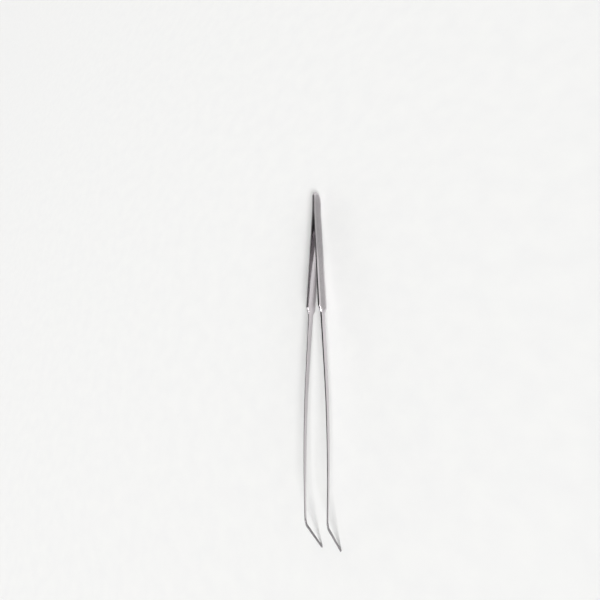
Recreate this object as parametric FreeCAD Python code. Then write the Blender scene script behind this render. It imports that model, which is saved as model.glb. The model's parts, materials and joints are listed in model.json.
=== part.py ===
"""Long curved tweezers for planting in an aquarium.

Two mirrored sprung strips lie flat on each other at the tail, where a weld and two spot welds
join them. Each strip is a wide grip leaf as far as a shoulder, then a slim tapered arm that bows
outwards, and it ends in a tip that bends down.

The strips are first drawn level: X is the opening direction, the tail end is at Y = 0 and the
tips are towards -Y, and a strip's width lies along Z. place_matrix() then lays the tool on its
tail and its two tips, on Z = 0. A station is a distance from the tail end along -Y.

Every arm flexes near its root. The bending leaf is divided there by a small knuckle, so that the
arm can turn about one axis.
"""
import FreeCAD, Part
import math
import os

# Driving dimensions, in millimetres and degrees.
OVERALL_LENGTH = 300.0

LEAF_THICKNESS = 1.4
LEAF_THIN_END = 45.0
FLAT_LENGTH = 16.0
LEAF_BEND_LENGTH = 8.0
SPLAY_ANGLE = 3.05

GRIP_WIDTH = 13.1
SHOULDER_STATION = 117.0
SHOULDER_LENGTH = 5.5
SHOULDER_THICKNESS = 2.0

ARM_WIDTH = 6.3
ARM_MID_WIDTH = 3.95
ARM_MID_STATION = 220.0
ARM_THICKNESS = 1.55
BOW_START = 172.0
BOW_RADIUS = 1075.0

TIP_LENGTH = 30.0
TIP_ANGLE = 49.0
BEND_WIDTH = 1.9
TIP_WIDTH = 1.5
TIP_THICKNESS = 0.85
TIP_CORNER_RADIUS = 0.6
BEND_INNER_RADIUS = 6.0
BEND_OUTER_RADIUS = 8.0
SHOULDER_CORNER_RADIUS = 0.8
SHOULDER_FOOT_RADIUS = 2.5
ARM_EASE_RADIUS = 400.0

FLEX_STATION = 32.0
KNUCKLE_RADIUS = 0.5
KNUCKLE_CLEARANCE = 0.05
FLEX_GAP = 0.06
CLOSED_TIP_GAP = 0.04

WELD_DEPTH = 0.8
WELD_HALF_WIDTH = 0.55
NUGGET_STATIONS = (6.5, 12.0)
NUGGET_RADIUS = 1.8
NUGGET_HALF_THICKNESS = 0.4

# How far a drawn profile runs past the strip's ends before it is trimmed, how far a blank reaches
# to either side, the spans of the curve that bows an arm, and when two points are the same.
MARGIN = 2.0
BLANK_REACH = 40.0
ARM_SPANS = 8
SAME_POINT = 1e-6

# Worked out from the driving dimensions.
TAIL_RADIUS = GRIP_WIDTH / 2
ARM_START = SHOULDER_STATION + SHOULDER_LENGTH
BEND_STATION = OVERALL_LENGTH - TIP_LENGTH * math.cos(math.radians(TIP_ANGLE))
SLOPE = math.tan(math.radians(SPLAY_ANGLE))


def vector(x, y, z):
    return FreeCAD.Vector(x, y, z)


def ramp(value, low, high):
    """0 before low, 1 after high, and straight between them."""
    return min(1.0, max(0.0, (value - low) / (high - low)))


def centre_offset(station):
    """Distance of a strip's middle from the plane X = 0."""
    into_bend = min(max(station - FLAT_LENGTH, 0.0), LEAF_BEND_LENGTH)
    straight = max(station - FLAT_LENGTH - LEAF_BEND_LENGTH, 0.0)
    rise = SLOPE * into_bend ** 2 / (2 * LEAF_BEND_LENGTH) + SLOPE * straight
    bow = max(station - BOW_START, 0.0) ** 2 / (2 * BOW_RADIUS)
    return LEAF_THICKNESS / 2 + rise - bow


def thickness(station):
    """Thickness of a strip: thin where it springs, thick at the shoulder, fine at the tip."""
    swell = ramp(station, LEAF_THIN_END, SHOULDER_STATION)
    grip = LEAF_THICKNESS + (SHOULDER_THICKNESS - LEAF_THICKNESS) * swell
    left = ramp(OVERALL_LENGTH - station, 0.0, OVERALL_LENGTH - ARM_START)
    arm = TIP_THICKNESS + (ARM_THICKNESS - TIP_THICKNESS) * left ** 2
    past_shoulder = ramp(station, SHOULDER_STATION, ARM_START)
    return grip + (arm - grip) * past_shoulder


def face_point(station, side):
    """A point of the outer face (side 1) or the inner face (side -1) of the strip at +X."""
    x = centre_offset(station) + side * thickness(station) / 2
    return vector(x, -station, 0)


def face_edges(side):
    """One face of the strip as edges in the XY plane, from past the tail to past the tips."""
    bend_middle = FLAT_LENGTH + LEAF_BEND_LENGTH / 2
    bend_end = FLAT_LENGTH + LEAF_BEND_LENGTH
    curves = [
        Part.LineSegment(face_point(-MARGIN, side), face_point(FLAT_LENGTH, side)),
        Part.Arc(*[face_point(station, side) for station in (FLAT_LENGTH, bend_middle, bend_end)]),
    ]
    corners = (bend_end, LEAF_THIN_END, SHOULDER_STATION, ARM_START)
    for first, last in zip(corners, corners[1:]):
        curves.append(Part.LineSegment(face_point(first, side), face_point(last, side)))
    arm_length = OVERALL_LENGTH + MARGIN - ARM_START
    steps = [i / ARM_SPANS for i in range(ARM_SPANS + 1)]
    slim_arm = Part.BSplineCurve()
    slim_arm.interpolate([face_point(ARM_START + arm_length * step, side) for step in steps])
    curves.append(slim_arm)
    return [curve.toShape() for curve in curves]


def side_solid(height):
    """The strip's side profile, swept over its whole width."""
    outer = face_edges(1)
    inner = face_edges(-1)
    caps = []
    for index in (0, -1):
        ends = [edges[index].Vertexes[index].Point for edges in (outer, inner)]
        caps.append(Part.LineSegment(*ends).toShape())
    wire = Part.Wire(Part.__sortEdges__(outer + inner + caps))
    face = Part.Face(wire)
    face.translate(vector(0, 0, -height))
    return face.extrude(vector(0, 0, 2 * height))


def rounded_wire(corners):
    """A closed wire through (point, radius) corners, each rounded by a tangent arc."""
    edges = []
    pieces = []
    for index, (point, radius) in enumerate(corners):
        before = (corners[index - 1][0] - point).normalize()
        after = (corners[(index + 1) % len(corners)][0] - point).normalize()
        half = before.getAngle(after) / 2
        reach = radius / math.tan(half)
        bisector = (before + after).normalize()
        middle = point + bisector * (radius / math.sin(half) - radius)
        pieces.append((point + before * reach, middle, point + after * reach))
    for index, (first, middle, last) in enumerate(pieces):
        edges.append(Part.Arc(first, middle, last).toShape())
        following = pieces[(index + 1) % len(pieces)][0]
        if (following - last).Length > SAME_POINT:
            edges.append(Part.LineSegment(last, following).toShape())
    return Part.Wire(edges)


def tip_frame():
    """Where the middle line turns down, and the directions along and across the tip."""
    angle = math.radians(TIP_ANGLE)
    along = vector(0, -math.cos(angle), -math.sin(angle))
    across = vector(0, -math.sin(angle), math.cos(angle))
    return vector(0, -BEND_STATION, 0), along, across


def outline_corners():
    """Corners of the strip's outline in the YZ plane, with the radius of each."""
    vertex, along, across = tip_frame()
    tip_end = vertex + along * TIP_LENGTH
    mitre = BEND_WIDTH / 2 * math.tan(math.radians(TIP_ANGLE) / 2)

    def edge(station, width, side, radius):
        return (vector(0, -station, side * width / 2), radius)

    def run(side):
        """One long edge, from the tail to the bend: side 1 is above, side -1 below."""
        bend_radius = BEND_OUTER_RADIUS if side > 0 else BEND_INNER_RADIUS
        return [
            edge(0, GRIP_WIDTH, side, TAIL_RADIUS),
            edge(SHOULDER_STATION, GRIP_WIDTH, side, SHOULDER_CORNER_RADIUS),
            edge(ARM_START, ARM_WIDTH, side, SHOULDER_FOOT_RADIUS),
            edge(ARM_MID_STATION, ARM_MID_WIDTH, side, ARM_EASE_RADIUS),
            edge(BEND_STATION + side * mitre, BEND_WIDTH, side, bend_radius),
        ]

    half = TIP_WIDTH / 2
    tip = [(tip_end + across * (side * half), TIP_CORNER_RADIUS) for side in (1, -1)]
    return run(1) + tip + run(-1)[::-1]


def whole_strip():
    """The strip at +X, before it is divided."""
    outline = Part.Face(rounded_wire(outline_corners()))
    plate = outline.extrude(vector(2 * BLANK_REACH, 0, 0))
    plate.translate(vector(-BLANK_REACH, 0, 0))
    return side_solid(BLANK_REACH).common(plate).Solids[0]


def weld_ring():
    """Weld metal in the vee between the strips, round the tail end, ground flush."""
    centre = vector(0, -TAIL_RADIUS, 0)
    section = [
        vector(-WELD_HALF_WIDTH, -TAIL_RADIUS, -TAIL_RADIUS),
        vector(WELD_HALF_WIDTH, -TAIL_RADIUS, -TAIL_RADIUS),
        vector(0, -TAIL_RADIUS, -TAIL_RADIUS + WELD_DEPTH),
    ]
    face = Part.Face(Part.makePolygon(section + section[:1]))
    return face.revolve(centre, vector(1, 0, 0), 180)


def nugget(station):
    """A spot weld's fused disc, across the seam between the two leaves."""
    base = vector(-NUGGET_HALF_THICKNESS, -station, 0)
    return Part.makeCylinder(NUGGET_RADIUS, 2 * NUGGET_HALF_THICKNESS, base, vector(1, 0, 0))


def flex_point():
    return vector(centre_offset(FLEX_STATION), -FLEX_STATION, 0)


def beyond_flex(gap):
    """A block that holds all of the strip past the flex station, less half the gap."""
    size = 2 * OVERALL_LENGTH
    block = Part.makeBox(size, size, size, vector(-size / 2, -size - gap / 2, -size / 2))
    block.rotate(vector(0, 0, 0), vector(0, 0, 1), SPLAY_ANGLE)
    block.translate(flex_point())
    return block


def knuckle(radius):
    """A round bar through the flex point, along the axis that the arm turns about."""
    height = 2 * GRIP_WIDTH
    return Part.makeCylinder(radius, height, flex_point() - vector(0, 0, height / 2))


def moving_arm(strip):
    """The strip past the flex station, with its half of the knuckle."""
    stub = strip.common(knuckle(KNUCKLE_RADIUS))
    return strip.common(beyond_flex(FLEX_GAP)).fuse(stub).removeSplitter()


def tail_leaf(strip):
    """The strip up to the flex station, with a socket for the knuckle and room for the welds."""
    leaf = strip.cut(beyond_flex(-FLEX_GAP)).cut(knuckle(KNUCKLE_RADIUS + KNUCKLE_CLEARANCE))
    return leaf.cut(Part.makeCompound([weld_ring()] + [nugget(s) for s in NUGGET_STATIONS]))


def mirrored(shape):
    return shape.mirror(vector(0, 0, 0), vector(1, 0, 0))


def tip_corner(side):
    """Centre of the small round at a corner of the tip's end: side 1 is above, side -1 below."""
    vertex, along, across = tip_frame()
    inset = side * (TIP_WIDTH / 2 - TIP_CORNER_RADIUS)
    return vertex + along * (TIP_LENGTH - TIP_CORNER_RADIUS) + across * inset


def resting_tilt():
    """How far the level tool turns about X, so that its tail and its tips touch one plane."""
    span = tip_corner(-1) - vector(0, -TAIL_RADIUS, 0)
    lift = math.asin((TAIL_RADIUS - TIP_CORNER_RADIUS) / span.Length)
    return math.atan2(-span.z, -span.y) - lift


def place_matrix():
    """Turn the level tool to rest, and put the origin at the bottom centre of its box."""
    matrix = FreeCAD.Matrix()
    matrix.rotateX(-resting_tilt())
    tail = matrix.multVec(vector(0, -TAIL_RADIUS, 0))
    front = matrix.multVec(tip_corner(1)).y - TIP_CORNER_RADIUS
    back = tail.y + TAIL_RADIUS
    matrix.move(vector(0, -(front + back) / 2, TAIL_RADIUS - tail.z))
    return matrix


def closing_angle():
    """How far an arm turns before its tip stands just clear of the middle plane."""
    pivot = flex_point()
    tip = face_point(OVERALL_LENGTH, -1) - pivot
    reach = math.hypot(tip.x, tip.y)
    closed = math.asin((pivot.x - CLOSED_TIP_GAP / 2) / reach)
    return math.degrees(math.atan2(tip.x, -tip.y) + closed)


def build_parts():
    """Every piece at rest, by node name."""
    strip = whole_strip()
    leaf = tail_leaf(strip)
    arm = moving_arm(strip)
    return {
        "right_tail_leaf": leaf,
        "left_tail_leaf": mirrored(leaf),
        "right_arm": arm,
        "left_arm": mirrored(arm),
        "end_weld": weld_ring(),
        "spot_welds": Part.makeCompound([nugget(station) for station in NUGGET_STATIONS]),
    }


def print_interfaces():
    """The places that the record needs, in the resting frame."""
    matrix = place_matrix()
    pivot = matrix.multVec(flex_point())
    print("pivot", pivot, "axis", matrix.multVec(flex_point() + vector(0, 0, 1)) - pivot)
    print("tilt", math.degrees(resting_tilt()), "closing angle", closing_angle())
    print("tail face", matrix.multVec(vector(LEAF_THICKNESS, -FLAT_LENGTH / 2, 0)))


def main():
    os.makedirs("parts", exist_ok=True)
    for name, shape in build_parts().items():
        placed = shape.copy()
        placed.transformShape(place_matrix())
        print(name, len(placed.Solids), placed.isValid(), placed.Volume, placed.optimalBoundingBox())
        placed.exportStep(f"parts/{name}.step")
    print_interfaces()


main()
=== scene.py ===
"""Looks of the long curved aquarium tweezers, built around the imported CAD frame.

Each spring steel strip is one smooth mesh from tail to tip, because the real strip is one piece
that bends. It stands for the two CAD nodes that the flex joint divides. A strip is drawn level,
as in the CAD source: a station runs from the tail end towards the tips, a height lies across the
strip, and an offset is the distance from the plane between the two strips.
"""
import json
import math

import bmesh
import bpy
import numpy as np
from mathutils import Matrix, Vector


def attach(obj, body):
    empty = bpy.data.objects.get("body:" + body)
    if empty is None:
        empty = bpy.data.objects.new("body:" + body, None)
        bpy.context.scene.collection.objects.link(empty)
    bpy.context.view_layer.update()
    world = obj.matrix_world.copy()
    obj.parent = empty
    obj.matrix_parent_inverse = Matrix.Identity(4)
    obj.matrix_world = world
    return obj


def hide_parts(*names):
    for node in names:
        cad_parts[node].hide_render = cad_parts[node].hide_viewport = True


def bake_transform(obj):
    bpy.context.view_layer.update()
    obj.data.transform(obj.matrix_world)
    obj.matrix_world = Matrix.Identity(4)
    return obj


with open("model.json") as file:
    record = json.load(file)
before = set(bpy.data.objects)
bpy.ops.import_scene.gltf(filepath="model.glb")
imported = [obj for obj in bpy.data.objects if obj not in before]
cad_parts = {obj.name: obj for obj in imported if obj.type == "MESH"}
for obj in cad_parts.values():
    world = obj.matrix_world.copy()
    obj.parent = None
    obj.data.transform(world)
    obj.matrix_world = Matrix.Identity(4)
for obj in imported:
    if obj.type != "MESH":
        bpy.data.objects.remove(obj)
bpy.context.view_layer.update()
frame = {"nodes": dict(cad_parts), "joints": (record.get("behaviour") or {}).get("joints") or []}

MM = 0.001

# Driving dimensions of the tool, as in the CAD source: lengths in millimetres, angles in radians.
OVERALL_LENGTH = 300.0
LEAF_THICKNESS = 1.4
LEAF_THIN_END = 45.0
FLAT_LENGTH = 16.0
LEAF_BEND_LENGTH = 8.0
SPLAY_SLOPE = math.tan(math.radians(3.05))
GRIP_WIDTH = 13.1
SHOULDER_STATION = 117.0
SHOULDER_LENGTH = 5.5
SHOULDER_THICKNESS = 2.0
ARM_WIDTH = 6.3
ARM_MID_WIDTH = 3.95
ARM_MID_STATION = 220.0
ARM_THICKNESS = 1.55
BOW_START = 172.0
BOW_RADIUS = 1075.0
TIP_LENGTH = 30.0
TIP_ANGLE = math.radians(49.0)
BEND_WIDTH = 1.9
BEND_RADIUS = 7.0
TIP_WIDTH = 1.5
TIP_THICKNESS = 0.85
FLEX_STATION = 32.0

TAIL_RADIUS = GRIP_WIDTH / 2
ARM_START = SHOULDER_STATION + SHOULDER_LENGTH
VERTEX_STATION = OVERALL_LENGTH - TIP_LENGTH * math.cos(TIP_ANGLE)
BEND_REACH = BEND_RADIUS * math.tan(TIP_ANGLE / 2)
BEND_START = VERTEX_STATION - BEND_REACH
BEND_END = BEND_START + BEND_RADIUS * TIP_ANGLE
PATH_LENGTH = BEND_END + TIP_LENGTH - BEND_REACH

# How far the two corners of the shoulder are eased, as shares of its length, and how many of its
# lengths away the easing stops.
CORNER_EASE = 0.045
FOOT_EASE = 0.14
EASE_REACH = 9

# Finish of the strips, in millimetres: the outer faces are crowned towards their long edges.
GRIP_CROWN_WIDTH = 2.8
GRIP_CROWN_DEPTH = 0.4
SLIM_CROWN_SHARE = 0.8
SLIM_CROWN_DEPTH = 0.3
TIP_CROWN_WIDTH = 0.25
TIP_CROWN_DEPTH = 0.15
TIP_CROWN_START = BEND_START - 3.0
TIP_CROWN_END = BEND_END + 2.0
CROWN_TURNS = [math.radians(turn) for turn in (90, 78, 64, 48, 32, 16, 0)]
INNER_ROUND = 0.2
ARM_EDGE_BEVEL = math.radians(14.0)
POLISHING_LOSS = 0.012
TIP_END_ROUND = 0.7
TIP_END_POWER = 2.6
TOOTH_PITCH = 0.9
TOOTH_DEPTH = 0.13
TOOTH_START = PATH_LENGTH - 17.0
TOOTH_END = PATH_LENGTH - 1.0
TOOTH_FADE_IN = 2.0
TOOTH_FADE_OUT = 0.3

# The strips' meshes: points across the flat part of a face, and lengths too small to keep.
FLAT_COLUMNS = 5
NO_DROP = 1e-6
SAME_POINT = 2e-4
NO_LENGTH = 1e-5

# The weld bead: its section as (offset, height from the strips' outline), with its root last.
# The root, which lies below WELD_ROOT, has no ripple and doesn't sink at the bead's two ends.
WELD_SECTION = [(-0.5, -0.12), (-0.3, -0.03), (0, 0.0), (0.3, -0.03), (0.5, -0.12), (0, -0.75)]
WELD_ROOT = -0.5
WELD_REACH = math.radians(92)
WELD_STEPS = 72
WELD_RIPPLE = 0.012
WELD_RIPPLE_COUNT = 60
WELD_FADE_SHARE = 1 / 8
WELD_END_SINK = 0.25
WELD_END_WIDTH = 0.35

# Painted highlight, made as polish on the grip's outer face: it fades out over the first range and
# comes back over the second, in millimetres from the tail end. It is strongest on the crown, where
# it paints a bright line along the rim, and RIM_RISE of the crown's depth brings it in.
END_SHEEN_FADE = (3, 14)
GRIP_SHEEN_RISE = (45, 85)
LEAST_RIM_SHEEN = 0.3
FACE_SHEEN = 0.12
RIM_RISE = 0.035
FULL_POLISH_STATION = ARM_START + 4.0

# The matte finish of the tips comes in between two distances along the middle line. A face is
# part of a narrow edge if the part of its normal towards the other strip is under NARROW_TURN.
MATTE_START = BEND_START - 2.0
MATTE_END = BEND_START + 2.0
NARROW_TURN = 0.3

# Finish of the steel, slightly warm.
SATIN_COLOR = (0.33, 0.312, 0.324)
SATIN_ROUGHNESS = 0.3
TIP_COLOR = (0.265, 0.251, 0.261)
TIP_ROUGHNESS = 0.34
POLISHED_COLOR = (0.635, 0.601, 0.623)
POLISHED_ROUGHNESS = 0.11
GROUND_DARK = (0.38, 0.359, 0.372)
GROUND_LIGHT = (0.45, 0.426, 0.441)
GROUND_ROUGHNESS = (0.12, 0.18)
WELD_DARK = (0.55, 0.52, 0.54)
WELD_ROUGHNESS = (0.14, 0.26)

# How far the clouds vary a colour and the brushing varies a roughness, as factors.
DULL_CLOUDS = (0.92, 1.08)
BRIGHT_CLOUDS = (0.97, 1.03)
DULL_BRUSHING = (0.85, 1.15)
BRIGHT_BRUSHING = (0.8, 1.2)

# Noises in the materials, with their stretch for each axis, and the range that holds their values.
BRUSHING = {"stretch": (900, 26, 900), "scale": 3.0}
CLOUDS = {"stretch": (40, 14, 40), "scale": 1.6, "detail": 2.0}
SPECKS = {"stretch": (1, 1, 1), "scale": 60.0}
NOISE_RANGE = (0.3, 0.7)
GRAIN_DEPTH = 0.00002
STRIP_GRAIN = 0.06
WELD_GRAIN = 0.2

# Studio: walls and ceiling, with their radiance by the height of a direction, then the window,
# whose angle is in degrees, the softbox and the floor, in metres.
WALL_LIGHT = 0.95
CEILING_LIGHT = 0.1
WALL_TOP = 0.45
CEILING_START = 0.66
WINDOW_DIRECTION = (0.5, -0.75, 0.8)
WINDOW_ANGLE = 25
WINDOW_POWER = 3.6
SOFTBOX_DIRECTION = (-0.46, -0.64, 0.62)
SOFTBOX_DISTANCE = 3.0
SOFTBOX_SIZE = 1.0
SOFTBOX_RADIANCE = 1.2
FLOOR_SIZE = 12
FLOOR_COLOR = (0.80, 0.80, 0.79)
FLOOR_DARK = (0.79, 0.79, 0.785)
FLOOR_LIGHT = (0.81, 0.81, 0.80)
FLOOR_ROUGHNESS = 0.6
FLOOR_SHINE = 0.1

# Camera: place and aim in metres, roll in radians, sensor and lens in millimetres.
CAMERA_PLACE = (0.1465, -0.046, 0.2713)
CAMERA_AIM = (0.0, 0.0345, 0.0393)
CAMERA_ROLL = math.radians(0.83)
SENSOR_WIDTH = 36
LENS_LENGTH = 21.312


def ramp(value, low, high):
    return np.clip((value - low) / (high - low), 0.0, 1.0)


def smooth_ramp(value, low, high):
    t = ramp(value, low, high)
    return t * t * (3 - 2 * t)


# The strip's shape


def centre_offset(station):
    """Distance of a strip's middle from the plane between the strips."""
    into_bend = np.clip(station - FLAT_LENGTH, 0.0, LEAF_BEND_LENGTH)
    straight = np.maximum(station - FLAT_LENGTH - LEAF_BEND_LENGTH, 0.0)
    rise = SPLAY_SLOPE * into_bend**2 / (2 * LEAF_BEND_LENGTH) + SPLAY_SLOPE * straight
    bow = np.maximum(station - BOW_START, 0.0) ** 2 / (2 * BOW_RADIUS)
    return LEAF_THICKNESS / 2 + rise - bow


def thickness(station):
    swell = ramp(station, LEAF_THIN_END, SHOULDER_STATION)
    grip = LEAF_THICKNESS + (SHOULDER_THICKNESS - LEAF_THICKNESS) * swell
    left = ramp(OVERALL_LENGTH - station, 0.0, OVERALL_LENGTH - ARM_START)
    arm = TIP_THICKNESS + (ARM_THICKNESS - TIP_THICKNESS) * left**2
    return grip + (arm - grip) * smooth_ramp(station, SHOULDER_STATION, ARM_START)


def plain_half_width(path):
    """Half the strip's width at a distance along its middle line, before its ends are rounded."""
    slim = np.interp(
        path,
        [ARM_START, ARM_MID_STATION, VERTEX_STATION, PATH_LENGTH],
        [ARM_WIDTH, ARM_MID_WIDTH, BEND_WIDTH, TIP_WIDTH],
    )
    drop = np.clip((path - SHOULDER_STATION) / SHOULDER_LENGTH, -EASE_REACH, EASE_REACH)
    corner = np.sqrt(drop**2 + CORNER_EASE**2)
    foot = np.sqrt((drop - 1) ** 2 + FOOT_EASE**2)
    eased = (corner - foot + 1) / 2
    return (GRIP_WIDTH + (slim - GRIP_WIDTH) * np.clip(eased, 0, 1)) / 2


def half_width(path):
    """Half the strip's width by its outline, with its round tail and its blunt, rounded tip."""
    into_tail = np.clip(1 - path / TAIL_RADIUS, 0, 1)
    tail = np.sqrt(np.clip(1 - into_tail**2, 0, 1))
    into_end = np.clip(1 - (PATH_LENGTH - path) / TIP_END_ROUND, 0, 1)
    end = np.clip(1 - into_end**TIP_END_POWER, 0, 1) ** (1 / TIP_END_POWER)
    return plain_half_width(path) * tail * end


def middle_line(path):
    """(station, height) points of the middle line and the unit vector across the strip there."""
    turn = np.clip(path - BEND_START, 0, BEND_RADIUS * TIP_ANGLE) / BEND_RADIUS
    tip = np.maximum(path - BEND_END, 0)
    along = np.stack([np.cos(turn), -np.sin(turn)], axis=1)
    across = np.stack([np.sin(turn), np.cos(turn)], axis=1)
    straight = np.minimum(path, BEND_START)
    station = straight + BEND_RADIUS * np.sin(turn) + tip * along[:, 0]
    height = -BEND_RADIUS * (1 - np.cos(turn)) + tip * along[:, 1]
    return np.stack([station, height], axis=1), across


def outline(path, side):
    """Outline points of one long edge, and the unit vectors that point outwards there.

    They are square to the outline at the round ends, and square to the middle line between them.
    """
    step = 1e-4

    def edge(value):
        points, across = middle_line(value)
        return points + across * (side * half_width(value))[:, None]

    low = np.maximum(path - step, 0)
    high = np.minimum(path + step, PATH_LENGTH)
    tangent = edge(high) - edge(low)
    normal = np.stack([-tangent[:, 1], tangent[:, 0]], axis=1) * side
    normal /= np.linalg.norm(normal, axis=1)[:, None]
    normal[0] = (-1, 0)
    normal[-1] = (math.cos(TIP_ANGLE), -math.sin(TIP_ANGLE))
    _, across = middle_line(path)
    between_ends = (path > TAIL_RADIUS) & (path < PATH_LENGTH - TIP_END_ROUND)
    return edge(path), np.where(between_ends[:, None], across * side, normal)


def path_stations():
    """Where the strip's ribs stand: close together wherever its shape changes quickly."""
    shoulder_from = SHOULDER_STATION - 4
    shoulder_to = ARM_START + 5
    from_to_step = [
        (TAIL_RADIUS, shoulder_from, 1.5),
        (shoulder_from, shoulder_to, 0.2),
        (shoulder_to, MATTE_START, 1.5),
        (MATTE_START, TIP_CROWN_END, 0.3),
        (TIP_CROWN_END, TOOTH_START, 0.6),
        (TOOTH_START, TOOTH_END, TOOTH_PITCH / 6),
    ]
    quarter = np.linspace(0, math.pi / 2, 26)
    tail = TAIL_RADIUS * (1 - np.cos(quarter))
    end = PATH_LENGTH - TIP_END_ROUND + TIP_END_ROUND * np.sin(quarter)
    between = [np.arange(*run) for run in from_to_step]
    ribs = np.unique(np.concatenate([tail, *between, end]).round(5))
    least_gap = 0.004
    ribs = ribs[np.concatenate([[True], np.diff(ribs) > least_gap])]
    ribs[-1] = PATH_LENGTH
    return ribs


def tooth_cut(path):
    """Depth of the fine cross grooves on the inner face of the tip."""
    phase = (path - TOOTH_START) / TOOTH_PITCH
    wave = np.abs(2 * (phase - np.floor(phase)) - 1)
    fade_in = smooth_ramp(path, TOOTH_START, TOOTH_START + TOOTH_FADE_IN)
    fade_out = ramp(path, TOOTH_END - TOOTH_FADE_OUT, TOOTH_END)
    return TOOTH_DEPTH * wave * (fade_in * (1 - fade_out))


def face_rounding(path):
    """Width and depth of the crown at the long edges of the outer face."""
    into_slim = smooth_ramp(path, SHOULDER_STATION, ARM_START)
    into_tip = smooth_ramp(path, TIP_CROWN_START, TIP_CROWN_END)
    half = plain_half_width(path)
    width = GRIP_CROWN_WIDTH + (SLIM_CROWN_SHARE * half - GRIP_CROWN_WIDTH) * into_slim
    width = width + (TIP_CROWN_WIDTH - width) * into_tip
    depth = GRIP_CROWN_DEPTH + (SLIM_CROWN_DEPTH - GRIP_CROWN_DEPTH) * into_slim
    depth = depth + (TIP_CROWN_DEPTH - depth) * into_tip
    return width, depth


def rounded_edge(width, depth, turns):
    """The points round an edge from its rim to the flat face: inset from the rim, and drop."""
    return [(width * (1 - math.sin(t)), depth * (1 - math.cos(t))) for t in turns]


def strip_ribs(sign):
    """One strip's ribs, drawn level, and how polished each of their points is, the painted
    highlight on the grip's rims included.

    The ribs are an array (rib, point round the rib, xyz).
    """
    path = path_stations()
    middle, _ = middle_line(path)
    crown_width, crown_depth = face_rounding(path)
    edge_height = thickness(middle[:, 0]) - crown_depth - INNER_ROUND
    into_slim = smooth_ramp(path, SHOULDER_STATION, ARM_START)
    bevel = math.tan(ARM_EDGE_BEVEL) * edge_height * into_slim
    crown = rounded_edge(crown_width, crown_depth, CROWN_TURNS)
    outer = [(bevel + inset, drop) for inset, drop in crown]
    inner = rounded_edge(INNER_ROUND, INNER_ROUND, CROWN_TURNS[::2])
    columns = np.linspace(0, 1, FLAT_COLUMNS + 2)[1:-1]

    def point(at, face, drop):
        station = at[:, 0]
        offset = thickness(station) / 2 - drop
        if face < 0:
            offset = offset - tooth_cut(path) * (drop < NO_DROP)
        across_gap = sign * (centre_offset(station) + face * offset)
        return np.stack([across_gap, -station, at[:, 1]], axis=1)

    loops = []
    polish_and_sheen = []
    for face, rows in ((1, outer), (-1, inner)):
        edges = {}
        for side in (1, -1):
            points, normals = outline(path, side)
            edges[side] = [(points - (normals.T * inset).T, drop) for inset, drop in rows]
        upper = edges[1]
        lower = edges[-1]
        high = upper[-1][0]
        low = lower[-1][0]
        between = [(high * (1 - share) + low * share, np.zeros_like(path)) for share in columns]
        across = upper + between + lower[::-1]
        depth = crown_depth if face > 0 else INNER_ROUND
        levels = [face_polish_and_sheen(path, face, drop / depth) for _, drop in across]
        if face < 0:
            across = across[::-1]
            levels = levels[::-1]
        loops += [point(at, face, drop) for at, drop in across]
        polish_and_sheen += levels
    return np.stack(loops, axis=1), np.stack(polish_and_sheen, axis=1)


def face_polish_and_sheen(path, face, edge):
    """How polished a row of points is, from 0 for satin or matte to 1, with a painted highlight on
    the grip's crown rims and a faint painted sheen on its face.

    The edge is the row's drop as a share of the crown's depth: 0 inside a face and 1 at its rim.
    """
    into_slim = smooth_ramp(path, SHOULDER_STATION, FULL_POLISH_STATION)
    into_tip = smooth_ramp(path, MATTE_START, MATTE_END)
    if face < 0:
        return 1 - into_tip
    # Painted highlight: the grip's rims, and faintly its face, are brightened near the tail end
    # and from 45 mm on.
    rim = ramp(edge, 0.0, RIM_RISE)
    sheen_reach = np.maximum(1 - smooth_ramp(path, *END_SHEEN_FADE), smooth_ramp(path, *GRIP_SHEEN_RISE))
    painted_sheen = np.maximum(rim * np.maximum(LEAST_RIM_SHEEN, sheen_reach), FACE_SHEEN * sheen_reach)
    level = painted_sheen + (1 - painted_sheen) * into_slim
    return level * (1 - into_tip)


# From the level drawing to the resting frame


def rest_matrix():
    """The matrix that lays the level drawing at rest in the frame, read from a flex joint."""
    joint = next(j for j in frame["joints"] if j["child"] == "left_arm")
    axis = Vector(joint["axis"])
    tilt = math.atan2(axis.y, axis.z)
    turn = Matrix.Rotation(-tilt, 4, "X")
    level = Vector((-float(centre_offset(FLEX_STATION)), -FLEX_STATION, 0)) * MM
    return Matrix.Translation(Vector(joint["pos_m"]) - turn @ level) @ turn @ Matrix.Scale(MM, 4)


REST = rest_matrix()


def new_piece(name, build):
    """An object from a bmesh that build fills in level millimetres, laid at rest."""
    mesh = bpy.data.meshes.new(name)
    work = bmesh.new()
    build(work)
    bmesh.ops.recalc_face_normals(work, faces=work.faces)
    work.to_mesh(mesh)
    work.free()
    mesh.transform(REST)
    mesh.shade_smooth()
    piece = bpy.data.objects.new(name, mesh)
    bpy.context.scene.collection.objects.link(piece)
    return piece


def loft(work, ribs, polish_and_sheen=None):
    """Quads round neighbouring closed ribs of points; polish, with its painted highlight, goes
    into the points' attribute.
    """
    layer = work.verts.layers.float.new("polish_and_sheen")
    rows = [[work.verts.new(point) for point in rib] for rib in ribs]
    if polish_and_sheen is not None:
        for row, values in zip(rows, polish_and_sheen):
            for vert, value in zip(row, values):
                vert[layer] = value
    count = len(rows[0])
    for low, high in zip(rows, rows[1:]):
        for i in range(count):
            j = (i + 1) % count
            work.faces.new((low[i], low[j], high[j], high[i]))
    return rows


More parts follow.
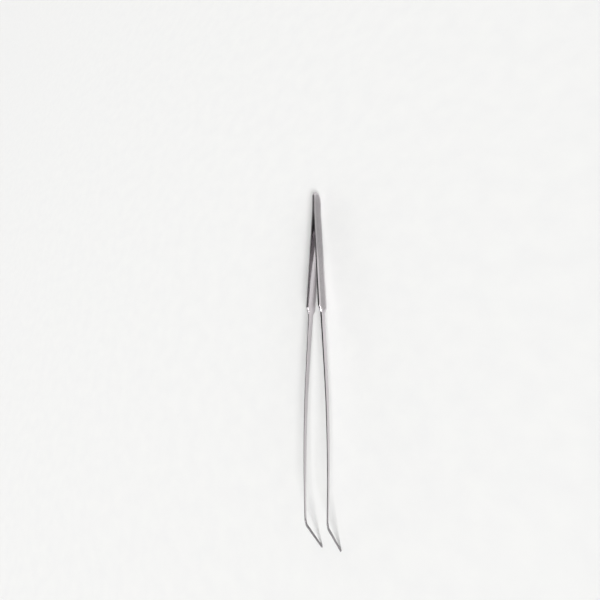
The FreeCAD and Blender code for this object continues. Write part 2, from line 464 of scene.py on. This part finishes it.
def build_strip(sign, materials):
    """One whole strip, for the tail leaf and the arm that the flex joint divides it into."""
    ribs, polish_and_sheen = strip_ribs(sign)

    def build(work):
        loft(work, ribs, polish_and_sheen=polish_and_sheen)
        bmesh.ops.remove_doubles(work, verts=work.verts, dist=SAME_POINT)
        bmesh.ops.dissolve_degenerate(work, edges=work.edges, dist=NO_LENGTH)
        bmesh.ops.recalc_face_normals(work, faces=work.faces)
        work.normal_update()
        for vert in work.verts:
            vert.co -= POLISHING_LOSS * vert.normal
        finish_faces(work)

    name = "right" if sign > 0 else "left"
    piece = new_piece(f"{name}_strip", build)
    for material in materials:
        piece.data.materials.append(material)
    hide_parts(f"{name}_tail_leaf", f"{name}_arm")
    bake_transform(piece)
    return piece


def finish_faces(work):
    """Set the materials: 0 on the broad faces, 1 on the ground narrow edges, 2 on the tips."""
    work.normal_update()
    for face in work.faces:
        station = -face.calc_center_median().y
        narrow = abs(face.normal.x) < NARROW_TURN
        if station > (VERTEX_STATION if narrow else MATTE_START):
            face.material_index = 2
        else:
            face.material_index = int(narrow)


def build_weld(material):
    """The weld bead that closes the seam round the tail end, ground almost flush."""
    ribs = []
    for i in range(WELD_STEPS + 1):
        angle = -WELD_REACH + 2 * WELD_REACH * i / WELD_STEPS
        fade = min(1.0, (1 - abs(angle) / WELD_REACH) / WELD_FADE_SHARE)
        ripple = WELD_RIPPLE * math.sin(angle * WELD_RIPPLE_COUNT) * fade
        narrowing = WELD_END_WIDTH + (1 - WELD_END_WIDTH) * fade
        rib = []
        for offset, height in WELD_SECTION:
            radius = TAIL_RADIUS + height - POLISHING_LOSS
            if height > WELD_ROOT:
                radius += ripple - (1 - fade) * WELD_END_SINK
            along = -TAIL_RADIUS + radius * math.cos(angle)
            rib.append((offset * narrowing, along, radius * math.sin(angle)))
        ribs.append(rib)

    def build(work):
        rows = loft(work, ribs)
        work.faces.new(rows[0])
        work.faces.new(rows[-1][::-1])

    piece = new_piece("weld_bead", build)
    piece.data.materials.append(material)
    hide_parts("end_weld")
    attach(piece, "tail")
    return piece


# Materials


class Shader:
    """A principled material and short ways to add nodes to it."""

    def __init__(self, name, color, roughness, metallic=1.0):
        self.material = bpy.data.materials.new(name)
        self.material.use_nodes = True
        self.nodes = self.material.node_tree.nodes
        self.links = self.material.node_tree.links
        self.surface = self.nodes["Principled BSDF"]
        self.surface.inputs["Base Color"].default_value = (*color, 1)
        self.surface.inputs["Roughness"].default_value = roughness
        self.surface.inputs["Metallic"].default_value = metallic

    def node(self, kind, **inputs):
        made = self.nodes.new(kind)
        for key, value in inputs.items():
            made.inputs[key].default_value = value
        return made

    def link(self, source, target):
        self.links.new(source, target)

    def noise(self, stretch, scale, detail=4.0):
        """A noise over the object's coordinates, which are stretched by a factor for each axis."""
        place = self.node("ShaderNodeTexCoord")
        mapping = self.node("ShaderNodeMapping", Scale=stretch)
        self.link(place.outputs["Object"], mapping.inputs["Vector"])
        made = self.node("ShaderNodeTexNoise", Scale=scale, Detail=detail)
        self.link(mapping.outputs["Vector"], made.inputs["Vector"])
        return made.outputs["Fac"]

    def spread(self, value, low, high):
        """A noise spread over the range from low to high."""
        made = self.node("ShaderNodeMapRange")
        made.inputs["From Min"].default_value = NOISE_RANGE[0]
        made.inputs["From Max"].default_value = NOISE_RANGE[1]
        made.inputs["To Min"].default_value = low
        made.inputs["To Max"].default_value = high
        self.link(value, made.inputs["Value"])
        return made.outputs["Result"]

    def grain(self, strength):
        """Brushing in the surface; returns it and a faint cloudy variation from 0 to 1."""
        brushed = self.noise(**BRUSHING)
        self.bump(brushed, GRAIN_DEPTH, strength)
        return brushed, self.spread(self.noise(**CLOUDS), 0.0, 1.0)

    def bump(self, height, distance, strength):
        made = self.node("ShaderNodeBump", Strength=strength, Distance=distance)
        self.link(height, made.inputs["Height"])
        self.link(made.outputs["Normal"], self.surface.inputs["Normal"])

    def mix(self, kind, factor, first, second):
        """A mix of two sockets or two plain values."""
        made = self.node("ShaderNodeMix")
        made.data_type = kind
        inputs = [socket for socket in made.inputs if socket.enabled]
        self.link(factor, inputs[0])
        for socket, value in zip(inputs[1:], (first, second)):
            if hasattr(value, "links"):
                self.link(value, socket)
            elif kind == "RGBA":
                socket.default_value = (*value, 1)
            else:
                socket.default_value = value
        return next(socket for socket in made.outputs if socket.enabled)

    def mix_colors(self, factor, first, second):
        return self.mix("RGBA", factor, first, second)

    def mix_values(self, factor, first, second):
        return self.mix("FLOAT", factor, first, second)


def steel(name, dark, light, roughness, strength):
    """Stainless steel with a grain along the strip and a range of roughness."""
    made = Shader(name, light, roughness[1])
    brushed, cloudy = made.grain(strength)
    made.link(made.spread(brushed, *roughness), made.surface.inputs["Roughness"])
    made.link(made.mix_colors(cloudy, dark, light), made.surface.inputs["Base Color"])
    return made.material


def tints(color, factors):
    return [[factor * channel for channel in color] for factor in factors]


def strip_steel(name, dull_color, dull_roughness):
    """Steel that goes from a dull finish to polished by the points' polish attribute, which also
    paints a highlight on the grip's rims.
    """
    made = Shader(name, POLISHED_COLOR, POLISHED_ROUGHNESS)
    level = made.nodes.new("ShaderNodeAttribute")
    level.attribute_name = "polish_and_sheen"
    brushed, cloudy = made.grain(STRIP_GRAIN)
    dull = made.mix_colors(cloudy, *tints(dull_color, DULL_CLOUDS))
    bright = made.mix_colors(cloudy, *tints(POLISHED_COLOR, BRIGHT_CLOUDS))
    color = made.mix_colors(level.outputs["Fac"], dull, bright)
    made.link(color, made.surface.inputs["Base Color"])
    rough = made.spread(brushed, *(factor * dull_roughness for factor in DULL_BRUSHING))
    sleek = made.spread(brushed, *(factor * POLISHED_ROUGHNESS for factor in BRIGHT_BRUSHING))
    roughness = made.mix_values(level.outputs["Fac"], rough, sleek)
    made.link(roughness, made.surface.inputs["Roughness"])
    return made.material


def pale_floor():
    made = Shader("floor_paint", FLOOR_COLOR, FLOOR_ROUGHNESS, metallic=0.0)
    specks = made.spread(made.noise(**SPECKS), 0.0, 1.0)
    color = made.mix_colors(specks, FLOOR_DARK, FLOOR_LIGHT)
    made.link(color, made.surface.inputs["Base Color"])
    made.surface.inputs["Specular IOR Level"].default_value = FLOOR_SHINE
    return made.material


# Stage, light and camera


def build_floor():
    bpy.ops.mesh.primitive_plane_add(size=FLOOR_SIZE, location=(0, 0, 0))
    floor = bpy.context.active_object
    floor.name = "floor"
    floor.data.materials.append(pale_floor())


def build_world():
    """A studio with pale walls that get darker towards the ceiling."""
    world = bpy.data.worlds.new("studio")
    world.use_nodes = True
    bpy.context.scene.world = world
    nodes = world.node_tree.nodes
    links = world.node_tree.links
    place = nodes.new("ShaderNodeTexCoord")
    split = nodes.new("ShaderNodeSeparateXYZ")
    shade = nodes.new("ShaderNodeMapRange")
    shade.interpolation_type = "SMOOTHSTEP"
    shade.inputs["From Min"].default_value = WALL_TOP
    shade.inputs["From Max"].default_value = CEILING_START
    shade.inputs["To Min"].default_value = WALL_LIGHT
    shade.inputs["To Max"].default_value = CEILING_LIGHT
    links.new(place.outputs["Generated"], split.inputs["Vector"])
    links.new(split.outputs["Z"], shade.inputs["Value"])
    links.new(shade.outputs["Result"], nodes["Background"].inputs["Strength"])
    nodes["Background"].inputs["Color"].default_value = (1, 1, 1, 1)


def add_lamp(light, direction):
    """A lamp that lights the tool from a direction."""
    lamp = bpy.data.objects.new(light.name, light)
    lamp.rotation_euler = Vector(direction).to_track_quat("Z", "Y").to_euler()
    bpy.context.scene.collection.objects.link(lamp)
    return lamp


def build_lights():
    """A broad soft sun for the window, and a square softbox of a given radiance in front."""
    window = bpy.data.lights.new("window_light", "SUN")
    window.angle = math.radians(WINDOW_ANGLE)
    window.energy = WINDOW_POWER
    add_lamp(window, WINDOW_DIRECTION)
    softbox = bpy.data.lights.new("front_softbox", "AREA")
    softbox.shape = "SQUARE"
    softbox.size = SOFTBOX_SIZE
    softbox.energy = SOFTBOX_RADIANCE * math.pi * SOFTBOX_SIZE**2
    lamp = add_lamp(softbox, SOFTBOX_DIRECTION)
    lamp.location = Vector(SOFTBOX_DIRECTION).normalized() * SOFTBOX_DISTANCE


def build_camera():
    """The camera looks down on the tool, with the tool's length up the picture."""
    place = Vector(CAMERA_PLACE)
    back = (place - Vector(CAMERA_AIM)).normalized()
    right = Vector((0, 1, 0)).cross(back).normalized()
    up = back.cross(right)
    turn = Matrix((right, up, back)).transposed().to_4x4()
    turn = turn @ Matrix.Rotation(-CAMERA_ROLL, 4, "Z")
    data = bpy.data.cameras.new("camera")
    data.sensor_width = SENSOR_WIDTH
    data.lens = LENS_LENGTH
    data.clip_start = 0.01
    camera = bpy.data.objects.new("camera", data)
    camera.matrix_world = Matrix.Translation(place) @ turn
    bpy.context.scene.collection.objects.link(camera)
    bpy.context.scene.camera = camera


def build_object():
    """The two strips, the weld bead and the finish of the spot welds hidden in the seam."""
    faces = strip_steel("strip_steel", SATIN_COLOR, SATIN_ROUGHNESS)
    tips = strip_steel("tip_steel", TIP_COLOR, TIP_ROUGHNESS)
    ground = steel("ground_steel", GROUND_DARK, GROUND_LIGHT, GROUND_ROUGHNESS, STRIP_GRAIN)
    weld = steel("weld_steel", WELD_DARK, POLISHED_COLOR, WELD_ROUGHNESS, WELD_GRAIN)
    for sign in (1, -1):
        build_strip(sign, (faces, ground, tips))
    build_weld(weld)
    hidden = frame["nodes"]["spot_welds"].data.materials
    hidden.clear()
    hidden.append(weld)


bpy.context.scene.view_settings.view_transform = "Standard"
build_camera()
build_floor()
build_world()
build_lights()
build_object()
